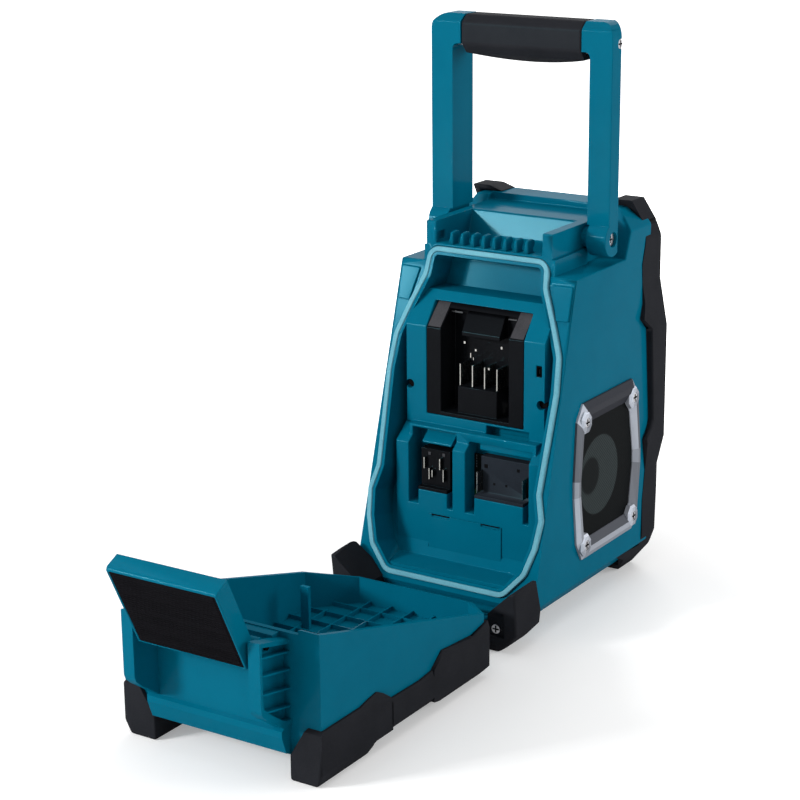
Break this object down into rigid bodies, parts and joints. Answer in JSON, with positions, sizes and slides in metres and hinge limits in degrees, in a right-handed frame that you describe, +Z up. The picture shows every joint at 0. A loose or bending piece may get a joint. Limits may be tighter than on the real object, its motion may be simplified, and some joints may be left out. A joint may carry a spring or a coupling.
{
  "type": "jobsite radio",
  "caption": "Rugged jobsite radio with rubber corners, upright carrying handle, side speakers and a hinged rear door open over its battery bay.",
  "frame": {"origin": "on the ground, midway between the two sides and 74 mm behind the seat of the front panel", "axes": "+Z up, +Y to the rear where the battery door opens, +X to the right hand of a listener who faces the display"},
  "size_m": [0.1654, 0.5324, 0.4407],
  "materials": {
    "teal_plastic": "moulded, lightly textured",
    "bumper_rubber": "matt elastomer",
    "seal_rubber": "soft foam seal",
    "black_plastic": "moulded",
    "grey_plastic": "moulded",
    "silver_plastic": "silver paint",
    "grille_metal": "black powder coat, perforated",
    "screw_steel": "plated",
    "contact_brass": "tinned",
    "board_laminate": "solder mask",
    "basket_steel": "pressed, painted",
    "cone_paper": "coated paper",
    "magnet_ferrite": "ground",
    "display_glass": "clear window"
  },
  "bodies": {
    "radio": {"main_housing": "teal_plastic", "battery_bay": "teal_plastic", "bay_seal": "seal_rubber", "bay_screws": "screw_steel", "main_terminal_block": "black_plastic", "main_terminal_contacts": "contact_brass", "narrow_slide_terminal": "black_plastic", "narrow_slide_contacts": "contact_brass", "wide_slide_terminal": "grey_plastic", "wide_slide_contacts": "contact_brass", "terminal_board": "board_laminate", "backup_battery_cover": "teal_plastic", "usb_port": "black_plastic", "speaker_frame_left": "silver_plastic", "speaker_frame_right": "silver_plastic", "speaker_grille_left": "grille_metal", "speaker_grille_right": "grille_metal", "speaker_basket_left": "basket_steel", "speaker_basket_right": "basket_steel", "speaker_cone_left": "cone_paper", "speaker_cone_right": "cone_paper", "speaker_magnet_left": "magnet_ferrite", "speaker_magnet_right": "magnet_ferrite", "speaker_screws": "screw_steel", "front_panel": "teal_plastic", "display_lens": "display_glass", "display_module": "black_plastic", "main_board": "board_laminate", "encoder": "black_plastic", "dc_jack": "black_plastic", "aux_jack": "black_plastic", "antenna_socket": "contact_brass", "front_bumper_left": "bumper_rubber", "front_bumper_right": "bumper_rubber", "hinge_bumper_left": "bumper_rubber", "hinge_bumper_right": "bumper_rubber", "bumper_screws": "screw_steel", "hinge_pin": "screw_steel", "handle_pivots": "screw_steel"},
    "door": {"door_shell": "teal_plastic", "door_bumper_left": "bumper_rubber", "door_bumper_right": "bumper_rubber", "latch_pins": "screw_steel"},
    "latch": {"latch_lever": "teal_plastic", "latch_pad": "bumper_rubber"},
    "handle": {"handle_arm_left": "teal_plastic", "handle_arm_right": "teal_plastic", "grip_core": "screw_steel", "handle_grip": "bumper_rubber", "handle_screws": "screw_steel"},
    "dial": {"tuning_dial": "black_plastic", "encoder_shaft": "screw_steel"},
    "port_flap": {"port_cover": "bumper_rubber"},
    "power_button_body": {"power_button": "black_plastic"},
    "mode_button_body": {"mode_button": "black_plastic"},
    "menu_button_body": {"menu_button": "black_plastic"},
    "preset_1_button_body": {"preset_1_button": "black_plastic"},
    "preset_2_button_body": {"preset_2_button": "black_plastic"},
    "preset_3_button_body": {"preset_3_button": "black_plastic"}
  },
  "joints": [
    {"name": "door_hinge", "type": "hinge", "parent": "radio", "child": "door", "pos_m": [0, 0.14015, 0.01415], "axis": [1, 0, 0], "range_deg": [0, 90]},
    {"name": "latch_hinge", "type": "hinge", "parent": "door", "child": "latch", "pos_m": [0, 0.401, 0.097], "axis": [1, 0, 0], "range_deg": [0, 26]},
    {"name": "handle_hinge", "type": "hinge", "parent": "radio", "child": "handle", "pos_m": [0, -0.007, 0.281], "axis": [-1, 0, 0], "range_deg": [0, 90]},
    {"name": "dial_turn", "type": "hinge", "parent": "radio", "child": "dial", "pos_m": [0, -0.0843, 0.118], "axis": [0, -1, 0], "continuous": true},
    {"name": "port_flap_hinge", "type": "hinge", "parent": "radio", "child": "port_flap", "pos_m": [-0.03, -0.0859, 0.06], "axis": [-1, 0, 0], "range_deg": [0, 100]},
    {"name": "power_button_press", "type": "slide", "parent": "radio", "child": "power_button_body", "axis": [0, 1, 0], "range_m": [0, 0.001], "stiffness_N_per_m": 800, "springref_m": -0.0005},
    {"name": "mode_button_press", "type": "slide", "parent": "radio", "child": "mode_button_body", "axis": [0, 1, 0], "range_m": [0, 0.001], "stiffness_N_per_m": 800, "springref_m": -0.0005},
    {"name": "menu_button_press", "type": "slide", "parent": "radio", "child": "menu_button_body", "axis": [0, 1, 0], "range_m": [0, 0.001], "stiffness_N_per_m": 800, "springref_m": -0.0005},
    {"name": "preset_1_button_press", "type": "slide", "parent": "radio", "child": "preset_1_button_body", "axis": [0, 1, 0], "range_m": [0, 0.001], "stiffness_N_per_m": 800, "springref_m": -0.0005},
    {"name": "preset_2_button_press", "type": "slide", "parent": "radio", "child": "preset_2_button_body", "axis": [0, 1, 0], "range_m": [0, 0.001], "stiffness_N_per_m": 800, "springref_m": -0.0005},
    {"name": "preset_3_button_press", "type": "slide", "parent": "radio", "child": "preset_3_button_body", "axis": [0, 1, 0], "range_m": [0, 0.001], "stiffness_N_per_m": 800, "springref_m": -0.0005}
  ]
}
